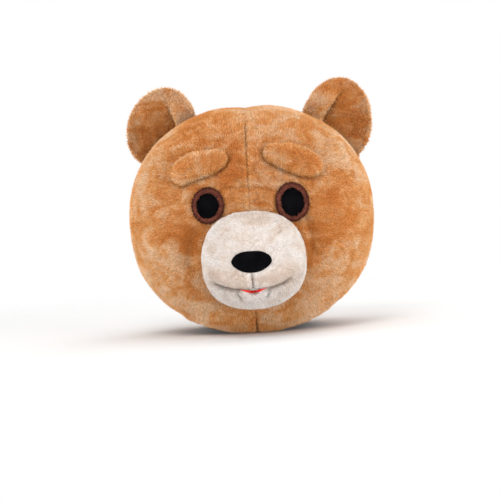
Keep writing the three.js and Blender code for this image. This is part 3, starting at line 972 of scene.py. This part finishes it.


# Where the plush is paler (above 0) or deeper in colour, partly brushed tone and partly painted sheen, paler
# towards the rims of the head, the lower cheeks and the chin: across, up, reach and amount
paleSpots = [
    (-0.15, -0.085, 0.05, 1.0),
    (0.14, -0.1, 0.05, 0.9),
    (-0.06, -0.15, 0.045, 0.7),
    (0.08, -0.15, 0.04, 0.5),
    (0.03, 0.18, 0.05, 0.8),
    (-0.15, 0.09, 0.04, 0.5),
    (0.15, 0.1, 0.04, 0.6),
    (-0.19, 0.0, 0.04, 0.4),
    (-0.105, -0.02, 0.035, -0.7),
    (0.115, -0.03, 0.045, -0.8),
    (0.13, 0.035, 0.04, -0.5),
    (-0.02, 0.085, 0.03, -0.6),
    (-0.07, 0.14, 0.035, -1.2),
    (0.05, 0.135, 0.03, 0.4),
    (0.07, 0.045, 0.02, 0.5),
    (0.0, 0.03, 0.02, 0.6),
]
paleBack = 0.3


def paleOnHead(vert):
    x, z = acrossUp(vert.co)
    if vert.co.y > headMiddle.y:
        return paleBack
    return sum(
        amount * bell(math.hypot(x - across, z - height), reach)
        for across, height, reach, amount in paleSpots
    )


def sewnOnHead(point):
    if abs(point.x - headMiddle.x) < headValues["seamHalfWidth"]:
        return True
    if any(withinHole(hole, point, headValues["sewnMargin"]) for hole in holes):
        return True
    return min(nodeTrees[name].find_nearest(point)[3] for name in sewnOn) < headValues["sewnMargin"]


def lineHead(outer):  # refines the skin, presses the seam in and joins the lining to it
    refined(outer)
    fitHoles(outer)
    for side in (-1, 1):
        bisect(outer, headMiddle.x + side * headValues["seamHalfWidth"], headValues["edgeWeld"])
    bmesh.ops.triangulate(outer, faces=outer.faces[:])
    moveAll(outer, faceMove)
    lining = radialForm(headValues, headValues["subdivisions"] - 1, innerRadius)
    cutHoles(lining)
    bmesh.ops.reverse_faces(lining, faces=lining.faces)
    for face in lining.faces:
        face.material_index = 1
    liningMesh = bpy.data.meshes.new("lining")
    lining.to_mesh(liningMesh)
    lining.free()
    outer.from_mesh(liningMesh)
    bpy.data.meshes.remove(liningMesh)
    margin = headValues["rimMargin"]
    for hole in holes:
        free = [edge for edge in outer.edges if edge.is_boundary]
        rims = [edge for edge in free if all(withinHole(hole, vert.co, margin) for vert in edge.verts)]
        for face in bmesh.ops.bridge_loops(outer, edges=rims)["faces"]:
            face.material_index = 1 if hole is neckPlace else 2


def makeHead(values):
    shape = radialForm(values, values["subdivisions"], outerRadius)
    cutHoles(shape)
    shape.normal_update()
    for vert in shape.verts:
        vert.co -= vert.normal * mask["headSkinDepth"]
    made = newPiece("head", shape)
    simulatePadding(made, values["padding"], sewnOnHead)
    edited(made, lineHead)
    shadeSmooth(made)
    setShades(made, hollow=hollowOnHead, pale=paleOnHead)
    finishPiece(made, [tanSkin, liningCloth, noseCloth], ["head_shell"])
    return made


head = makeHead(headValues)


def growHeadPile(values):
    def shareAt(vert):
        return 1 - values["seamBare"] * seamLine(vert.co, values["seamBareWidth"])

    def tallAt(vert):
        pressed = values["seamShort"] * seamLine(vert.co, values["seamShortWidth"])
        return 1 - values["hollowShort"] * hollowOnHead(vert) - pressed

    def napAt(vert):
        arm = (vert.co - headMiddle).normalized()
        outwards = Vector((arm.x, 0, arm.z + values["napTilt"])) * values["napOut"]
        return (outwards.x, values["napBack"], -values["nap"] + outwards.z * values["napUp"])

    bare = {
        face.index
        for face in head.data.polygons
        if face.material_index > 0 or covered(face.center, face.normal)
    }
    for depth, towardsBack in (("front", -1), ("back", 1)):
        for side, towardsLeft in (("left", 1), ("right", -1)):
            def within(face):
                middle = face.calc_center_median() - headMiddle
                return face.index not in bare and middle.y * towardsBack >= 0 and middle.x * towardsLeft > 0

            name = "head_pile_" + depth + "_" + side
            growPile(head, name, values, tanPile, within, shareAt, napAt, tallAt)


growHeadPile(headValues["pile"])
print("head finished")


# Pads that are sewn to the head: brows, ears, and one for muzzle and lower lip

def awayFromHead(point):
    return nodeTrees["head_shell"].find_nearest(point)[3]


def evenForm(name, nodeNames, values):  # the nodes' joint form in even faces
    piece = newPiece(name)
    shape = bmesh.new()
    for nodeName in nodeNames:
        part = weldedShape(nodeName)
        part.to_mesh(piece.data)
        part.free()
        shape.from_mesh(piece.data)
    shape.to_mesh(piece.data)
    shape.free()
    even = piece.modifiers.new("even", "REMESH")
    even.mode = "VOXEL"
    even.voxel_size = values["voxel"]
    applyModifiers(piece)
    trees = [nodeTrees[nodeName] for nodeName in nodeNames]

    def settle(shape):
        smoothShape(shape, shape.verts, values["smoothing"])
        for vert in shape.verts:
            nearest = min((tree.find_nearest(vert.co) for tree in trees), key=lambda found: found[3])
            if nearest[3] < values["voxel"] * 1.5:
                vert.co = vert.co.lerp(nearest[0], values["keep"])
        smoothShape(shape, shape.verts, 2)

    edited(piece, settle)
    return piece


def makePad(nodeNames, name, values, finish=None):
    pad = evenForm(name, nodeNames, values)

    def settle(shape):
        shape.normal_update()
        for vert in shape.verts:
            root = 1 - ramp(awayFromHead(vert.co), values["voxel"] * 0.5, values["voxel"] * 1.5)
            towardsHead = (headMiddle - vert.co).normalized()
            out = vert.normal * (values["plump"] - values["skinDepth"]) * (1 - root)
            vert.co += out + towardsHead * (mask["headSkinDepth"] - mask["sewnGap"]) * root

    edited(pad, settle)
    simulatePadding(pad, values["padding"], lambda point: awayFromHead(point) < values["sewnReach"])

    def refine(shape):
        if values["refine"]:
            refined(shape)
        if finish:
            finish(shape)

    edited(pad, refine)
    shadeSmooth(pad)
    finishPiece(pad, [values["cloth"]], nodeNames)
    return pad


def growPadPile(pad, name, nodeNames, padValues, values, inPart=None, tallAt=None, shareAt=None):
    def within(face):
        middle = face.calc_center_median()
        if inPart and not inPart(middle):
            return False
        return not covered(middle, face.normal, nodeNames) and awayFromHead(middle) > padValues["bareReach"]

    growPile(pad, name, values, padValues["tufts"], within, shareAt, None, tallAt)


browValues = {
    "voxel": 0.003, "smoothing": 3, "keep": 0.9, "refine": True,
    "skinDepth": 0.002, "plump": 0.003, "sewnReach": 0.004, "bareReach": 0.001, "fill": 0.7,
    "contactShade": 0.75, "contactFrom": 0.001, "contactWidth": 0.004,
    "cloth": tanSkin, "tufts": tanPile, "slot": "tan_plush",
    "padding": {"pressure": 4.0, "spareCloth": 0.03, "frames": 16, "mostMove": 0.003},
    "pile": {**tuftPile, "length": 0.0038, "curl": 0.8, "rows": 100.0, "seed": 21},
}


def browShade(vert):  # painted shadow along the edge that lies on the head, darker most of all below
    away = max(0, awayFromHead(vert.co) - browValues["contactFrom"])
    below = 0.5 + 0.5 * ramp(-vert.normal.z, -0.5, 0.5)
    return browValues["contactShade"] * bell(away, browValues["contactWidth"]) * below


for nodeName in ("left_brow", "right_brow"):
    brow = makePad([nodeName], nodeName + "_pad", browValues)
    setShades(brow, hollow=browShade)
    growPadPile(brow, nodeName + "_pile", [nodeName], browValues, browValues["pile"])

earValues = {
    "voxel": 0.0036, "smoothing": 3, "keep": 0.9, "refine": True,
    "skinDepth": 0.003, "plump": 0, "sewnReach": 0.006, "bareReach": 0.001, "fill": 0.5,
    "rollRise": 0.005, "rollWidth": 0.009, "foldDepth": 0.006, "foldWidth": 0.0034,
    "foldEndsBelow": 0.014, "foldEndsAbove": 0.004, "bowlEdge": 0.5, "rimFrom": 0.92,
    "foldShade": 0.7, "bowlShade": 0.04, "contactShade": 0.4, "contactFrom": 0.003, "contactWidth": 0.009,
    "rollPale": 0.7, "rimPale": 0.4, "bowlPale": -0.3,
    "cloth": tanSkin, "tufts": tanPile, "slot": "tan_plush",
    "padding": {"pressure": 2.0, "spareCloth": 0.03, "frames": 16, "mostMove": 0.004},
    "pile": {**tuftPile, "length": 0.0044, "nap": 0.35, "rows": 160.0, "seed": 31},
}

# The fold beside the rolled inner rim of each ear, across and up from the middle of the head
earFolds = {
    "left": [(0.170, 0.209), (0.156, 0.200), (0.141, 0.182), (0.128, 0.163), (0.121, 0.148)],
    "right": [
        (-0.128, 0.194), (-0.122, 0.180), (-0.116, 0.165), (-0.114, 0.149), (-0.115, 0.125), (-0.119, 0.095),
    ],
}


def pastFold(point, fold):  # how far a spot lies from the fold or its line upwards, below 0 on the rolled rim
    x, z = acrossUp(point)
    (x1, z1), (x2, z2) = fold[:2]
    longer = [(x1 + 4 * (x1 - x2), z1 + 4 * (z1 - z2)), *fold]
    away = nearLine(x, z, longer)
    for (x1, z1), (x2, z2) in zip(longer, longer[1:]):
        if z2 <= z <= z1:
            line = x1 + (x2 - x1) * (z1 - z) / (z1 - z2)
            return away if abs(x) > abs(line) else -away
    return -away if abs(x) < abs(fold[-1][0]) else away


def makeEar(side, values):
    nodeName = side + "_ear"
    fold = earFolds[side]
    low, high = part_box(nodeName)
    middle = (low + high) / 2

    def frontShare(vert):
        return ramp(-vert.normal.y, 0.0, 0.4)

    def foldShare(vert):  # the fold runs out towards the top of the ear
        end = fold[0][1]
        height = vert.co.z - headMiddle.z
        return 1 - ramp(height, end - values["foldEndsBelow"], end + values["foldEndsAbove"])

    def rimShare(vert):  # 1 at the outline of the ear
        across = (vert.co.x - middle.x) / (high.x - low.x) * 2
        height = (vert.co.z - middle.z) / (high.z - low.z) * 2
        return ramp(math.hypot(across, height), values["bowlEdge"], values["rimFrom"])

    def foldMove(vert):
        past = pastFold(vert.co, fold)
        rise = values["rollRise"] * bell(past + values["rollWidth"], values["rollWidth"])
        sink = values["foldDepth"] * bell(past, values["foldWidth"])
        return vert.normal * (rise - sink) * frontShare(vert) * foldShare(vert)

    def hollowAt(vert):  # painted shade: the bowl darker than the rims, darkest along the fold and beside the head
        past = pastFold(vert.co, fold)
        line = values["foldShade"] * bell(past, values["foldWidth"]) * foldShare(vert)
        bowl = values["bowlShade"] * (1 - rimShare(vert)) * ramp(past, -0.003, 0.003)
        away = max(0, awayFromHead(vert.co) - values["contactFrom"])
        return max(line, bowl, values["contactShade"] * bell(away, values["contactWidth"])) * frontShare(vert)

    # painted light on the rolled rim and the outer rim, and deeper colour painted as shade in the bowl
    def paleAt(vert):
        rolled = 1 - ramp(pastFold(vert.co, fold), -0.004, 0.004)
        inBowl = values["bowlPale"] * (1 - rimShare(vert)) + values["rimPale"] * rimShare(vert)
        return (values["rollPale"] * rolled + inBowl * (1 - rolled)) * frontShare(vert)

    ear = makePad([nodeName], nodeName + "_pad", values, lambda shape: moveAll(shape, foldMove))
    setShades(ear, hollow=hollowAt, pale=paleAt)
    growPadPile(ear, nodeName + "_pile", [nodeName], values, values["pile"])


makeEar("left", earValues)
makeEar("right", earValues)
print("brows and ears finished")

muzzleValues = {
    "voxel": 0.0034, "smoothing": 3, "keep": 0.8, "refine": False,
    "skinDepth": 0.0018, "plump": 0, "sewnReach": 0.006, "bareReach": 0.001, "fill": 0.8,
    "cloth": creamSkin, "tufts": creamPile, "slot": "cream_plush",
    "padding": {"pressure": 3.0, "spareCloth": 0.02, "frames": 16, "mostMove": 0.003},
    "pile": {
        "spacing": 0.0014, "length": 0.0026, "width": 0.001, "lean": 0.4, "nap": 0.4, "swirl": 0.2,
        "swirls": 16.0, "curl": 0.5, "curls": 450.0, "rows": 200.0, "seed": 41,
    },
    "lipPile": {
        "spacing": 0.0014, "length": 0.0036, "width": 0.0009, "lean": 0.6, "nap": 0.3, "swirl": 0.3,
        "swirls": 30.0, "curl": 0.9, "curls": 330.0, "rows": 140.0, "seed": 43,
    },
    "mouthHeight": -0.1025, "mouthRise": 0.017, "mouthHalfWidth": 0.064,
    "mouthDepth": 0.0075, "mouthWidth": 0.0034, "mouthFade": (0.045, 0.066), "fineReach": 0.013,
    "openAbove": 0.0008, "openHeight": 0.0062, "openHalfWidth": 0.0225,
    "bareBelow": 0.0012, "bareAbove": 0.0016,
    "closeUpper": 0.0005, "closeLower": 0.0003, "closeReach": 0.006, "closeFade": (0.02, 0.04),
    "lobeRise": 0.003, "lobeAbove": 0.013, "lobeWidth": 0.009, "lobeFade": (0.0, 0.009),
    "lobePaleWidth": 0.011,
    "lipPale": 0.7, "lipFade": (0.002, 0.01), "lobeDeep": 0.9, "hollowShort": 0.5,
    "lineShade": 180,  # painted shade for each metre of a line's depth
    "lineShadeWidth": 0.6,
}

# The mouth line, the seam under the nose and the lower lip's puckers, across and up from the head's middle
mouthLine = [
    (-0.062, -0.086), (-0.05, -0.094), (-0.03, -0.1), (0, -0.1025),
    (0.03, -0.1), (0.045, -0.095), (0.056, -0.088),
]
muzzleLines = [  # points, depth and width
    ([(0, -0.076), (0, -0.102)], 0.0034, 0.0024),
    ([(-0.026, -0.104), (-0.018, -0.116)], 0.0032, 0.004),
    ([(0.026, -0.103), (0.019, -0.114)], 0.003, 0.004),
    ([(-0.045, -0.1), (-0.039, -0.112)], 0.0012, 0.004),
    ([(0.044, -0.098), (0.038, -0.109)], 0.0012, 0.004),
    ([(0.003, -0.141), (0.0, -0.152)], 0.003, 0.003),
]


def mouthCurve(x):
    return muzzleValues["mouthHeight"] + muzzleValues["mouthRise"] * (x / muzzleValues["mouthHalfWidth"]) ** 2


def belowMouth(point):
    x, z = acrossUp(point)
    return z < mouthCurve(x)


def mouthOpening(x):  # the upper and lower edge of the red felt, seen from the front
    top = mouthCurve(x) + muzzleValues["openAbove"]
    return top, top - muzzleValues["openHeight"] * max(0, 1 - (x / muzzleValues["openHalfWidth"]) ** 2)


def muzzleShareAt(vert):  # no tufts over the red felt
    x, z = acrossUp(vert.co)
    top, bottom = mouthOpening(x)
    if abs(x) > muzzleValues["openHalfWidth"] or vert.co.y > headMiddle.y:
        return 1
    return 0 if bottom - muzzleValues["bareBelow"] < z < top + muzzleValues["bareAbove"] else 1


def mouthDepthAt(point):
    x, z = acrossUp(point)
    fade = 1 - ramp(abs(x), *muzzleValues["mouthFade"])
    return fade * bell(nearLine(x, z, mouthLine), muzzleValues["mouthWidth"])


# painted shade in the mouth line, the seam under the nose and the puckers, stronger where they are pressed
# deeper
def hollowOnMuzzle(vert):
    x, z = acrossUp(vert.co)
    dark = mouthDepthAt(vert.co)
    shadeWidth = muzzleValues["lineShadeWidth"]
    for line, depth, width in muzzleLines:
        dark = max(dark, muzzleValues["lineShade"] * depth * bell(nearLine(x, z, line), shadeWidth * width))
    return dark


def lobeShare(x, z, width):
    return bell(nearLine(x, z - muzzleValues["lobeAbove"], mouthLine), width)


def paleOnMuzzle(vert):  # painted light makes the lower lip paler, painted shade makes the lobes under the nose deeper in colour
    x, z = acrossUp(vert.co)
    below = ramp(mouthCurve(x) - z, *muzzleValues["lipFade"])
    lobes = lobeShare(x, z, muzzleValues["lobePaleWidth"])
    return muzzleValues["lipPale"] * below - muzzleValues["lobeDeep"] * lobes * (1 - below)


def nearMouth(vert):
    x, z = acrossUp(vert.co)
    return vert.normal.y < 0 and nearLine(x, z, mouthLine) < muzzleValues["fineReach"]


def mouthMove(vert):  # the mouth and the puckers press in, the lobes rise, the lips close
    if vert.normal.y > -0.2:
        return Vector()
    x, z = acrossUp(vert.co)
    depth = muzzleValues["mouthDepth"] * mouthDepthAt(vert.co)
    lobe = lobeShare(x, z, muzzleValues["lobeWidth"])
    depth -= muzzleValues["lobeRise"] * lobe * ramp(abs(x), *muzzleValues["lobeFade"])
    for line, lineDepth, width in muzzleLines:
        depth += lineDepth * bell(nearLine(x, z, line), width)
    near = bell(nearLine(x, z, mouthLine), muzzleValues["closeReach"])
    near *= 1 - ramp(abs(x), *muzzleValues["closeFade"])
    shift = muzzleValues["closeLower"] if belowMouth(vert.co) else -muzzleValues["closeUpper"]
    return vert.normal * -depth + up * shift * near


def pressMuzzle(shape):
    shape.normal_update()
    for vert in shape.verts:
        vert.co = fitted(vert.co)
    fine = [edge for edge in shape.edges if all(nearMouth(vert) for vert in edge.verts)]
    bmesh.ops.subdivide_edges(shape, edges=fine, cuts=1, use_grid_fill=True)
    smoothShape(shape, [vert for vert in shape.verts if nearMouth(vert)], 2)
    moveAll(shape, mouthMove)


def muzzleTallAt(vert):
    return 1 - muzzleValues["hollowShort"] * hollowOnMuzzle(vert)


muzzle = makePad(muzzleNodes, "muzzle_pad", muzzleValues, pressMuzzle)
setShades(muzzle, hollow=hollowOnMuzzle, pale=paleOnMuzzle)
for name, pileName, inPart in (
    ("muzzle_pile", "pile", lambda point: not belowMouth(point)),
    ("lower_lip_pile", "lipPile", belowMouth),
):
    values = muzzleValues[pileName]
    growPadPile(muzzle, name, muzzleNodes, muzzleValues, values, inPart, muzzleTallAt, muzzleShareAt)
muzzleShape = bmesh.new()
muzzleShape.from_mesh(muzzle.data)
muzzleSkin = treeOf(muzzleShape)


def frontOfMuzzle(x, z):  # how far forward the muzzle's cloth lies, across and up from the head's middle
    start = headMiddle + Vector((x, -1, z))
    return muzzleSkin.ray_cast(start, Vector((0, 1, 0)))[0].y


stitchValues = {
    "heights": (-0.086, -0.0905, -0.095),
    "halfLength": 0.0023,
    "radius": 0.00045,
    "slant": 0.0006,
    "rise": 0.0028,
}


def makeStitches(values):
    stitches = newPiece("philtrum_stitches")
    for height in values["heights"]:
        stitch = bmesh.new()
        bmesh.ops.create_cone(
            stitch, cap_ends=True, segments=8, depth=values["halfLength"] * 2,
            radius1=values["radius"], radius2=values["radius"],
            matrix=Matrix.Rotation(math.radians(90), 4, "Y"),
        )
        sides = [edge for edge in stitch.edges if edge.calc_length() > values["halfLength"]]
        bmesh.ops.subdivide_edges(stitch, edges=sides, cuts=5)
        for vert in stitch.verts:
            across = vert.co.x / values["halfLength"]
            place = headMiddle + Vector((vert.co.x, 0, height + vert.co.z + across * values["slant"]))
            front = frontOfMuzzle(*acrossUp(place)) + vert.co.y - values["rise"] * (1 - across ** 4)
            vert.co = Vector((place.x, front, place.z))
        stitch.from_mesh(stitches.data)
        stitch.to_mesh(stitches.data)
        stitch.free()
    shadeSmooth(stitches)
    finishPiece(stitches, [seamThread])


makeStitches(stitchValues)
print("muzzle finished")


# Nose, mouth lining, eye rings and eye nets

def makeSmallPiece(nodeName, name, values):
    piece = evenForm(name, [nodeName], values)
    shadeSmooth(piece)
    finishPiece(piece, [values["cloth"]], [nodeName])
    return piece


noseValues = {
    "voxel": 0.0016, "smoothing": 2, "keep": 0.9, "cornerUp": 0.12, "pinch": 0.055,
    "cloth": noseCloth, "slot": "black_cloth", "fill": 0.6,
}


def pointNose(shape):  # the sides run straight into a corner a little above the middle
    low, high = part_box("nose")
    middle = (low + high) / 2
    for vert in shape.verts:
        height = (vert.co.z - middle.z) / (high.z - low.z) * 2 - noseValues["cornerUp"]
        pinch = noseValues["pinch"] * (bell(height - 0.5, 0.3) + bell(height + 0.6, 0.35))
        vert.co.x = middle.x + (vert.co.x - middle.x) * (1 + noseValues["pinch"] * 0.5 - pinch)


edited(makeSmallPiece("nose", "nose_pad", noseValues), pointNose)
feltValues = {
    "voxel": 0.0011, "smoothing": 1, "keep": 0.9, "thickness": 0.005, "forward": 0.0024,
    "cloth": redFelt, "slot": "red_felt", "fill": 0.3,
}


def fitFelt(shape):  # the felt fills the mouth and lies against the cloth of the pocket
    low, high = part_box("mouth_lining")
    middle = (low + high) / 2
    for vert in shape.verts:
        across = min(1, max(-1, (vert.co.x - middle.x) / (high.x - low.x) * 2))
        height = min(1, max(0, (vert.co.z - low.z) / (high.z - low.z)))
        depth = (vert.co.y - low.y) / (high.y - low.y) * feltValues["thickness"]
        x = across * muzzleValues["openHalfWidth"]
        top, bottom = mouthOpening(x)
        z = bottom + (top - bottom) * height
        front = frontOfMuzzle(x, z) - feltValues["forward"]
        vert.co = Vector((headMiddle.x + x, front + depth, headMiddle.z + z))


edited(makeSmallPiece("mouth_lining", "mouth_felt", feltValues), fitFelt)
ringValues = {
    "voxel": 0.0013, "smoothing": 2, "keep": 0.8, "ragged": 0.0011, "jags": 420.0,
    "edgeFrom": 0.8, "edgeTo": 0.95, "shortNap": 0.5, "longNap": 1.8,
    "cloth": brownSkin, "slot": "brown_plush", "fill": 0.2,
    "fuzz": {
        "spacing": 0.0009, "length": 0.0026, "width": 0.00045, "lean": 1.5, "swirl": 0.4,
        "swirls": 60.0, "curl": 0.6, "curls": 400.0, "rows": 120.0, "seed": 51,
    },
}


def makeRing(side, values):
    nodeName = side + "_eye_ring"
    ring = makeSmallPiece(nodeName, nodeName + "_band", values)
    place = placeOf(nodeName)

    def outwards(vert):
        local = place["into"] @ vert.co
        return place["turn"].to_3x3() @ Vector((local.x, local.y, 0)).normalized()

    def edgeShare(vert):  # 1 at the outer edge of the band
        local = place["into"] @ vert.co
        across = math.hypot(local.x / place["halfWidth"], local.y / place["halfHeight"])
        return ramp(across, values["edgeFrom"], values["edgeTo"])

    def roughen(shape):  # both edges of the band are cut by hand and fray
        for vert in shape.verts:
            vert.co += outwards(vert) * values["ragged"] * noise.noise(vert.co * values["jags"])

    def napAt(vert):  # the fray points outwards, most of all at the outer edge
        reach = values["shortNap"] + (values["longNap"] - values["shortNap"]) * edgeShare(vert)
        return tuple(outwards(vert) * reach)

    def within(face):
        return not covered(face.calc_center_median(), face.normal, (nodeName,)) and face.normal.y < 0.3

    edited(ring, roughen)
    setShades(ring, hollow=edgeShare)
    growPile(ring, nodeName + "_fuzz", values["fuzz"], brownPile, within, None, napAt)


netValues = {
    "pitch": 0.0014,
    "spread": 2.9,  # the width of the square it is cut from, in half widths of the eye
    "thread": 0.00075,
    "turn": 38,
    "drop": 0.0006,
    "over": 1.08,
    "castFrom": 0.02,
}


def makeNet(side, values):
    nodeName = side + "_eye_mesh"
    place = eyePlaces[side]
    reach = max(place["halfWidth"], place["halfHeight"])
    across = round(values["spread"] * reach / values["pitch"])
    shape = bmesh.new()
    bmesh.ops.create_grid(shape, x_segments=across, y_segments=across, size=across * values["pitch"] / 2)
    bmesh.ops.rotate(shape, verts=shape.verts, matrix=Matrix.Rotation(math.radians(values["turn"]), 3, "Z"))
    outside = [
        vert for vert in shape.verts
        if math.hypot(vert.co.x / place["halfWidth"], vert.co.y / place["halfHeight"]) > values["over"]
    ]
    bmesh.ops.delete(shape, geom=outside, context="VERTS")
    normal = place["turn"].to_3x3() @ up
    for vert in shape.verts:
        start = place["turn"] @ Vector((vert.co.x, vert.co.y, values["castFrom"]))
        hit = nodeTrees[nodeName].ray_cast(start, -normal)[0]
        vert.co = (hit if hit else start - normal * values["castFrom"]) - normal * values["drop"]
    net = newPiece(nodeName + "_net", shape)
    wires = net.modifiers.new("threads", "WIREFRAME")
    wires.thickness = values["thread"]
    wires.use_even_offset = False
    applyModifiers(net)
    shadeSmooth(net)
    finishPiece(net, [netThread], [nodeName])


for side in ("left", "right"):
    makeRing(side, ringValues)
    makeNet(side, netValues)
print("eyes finished")
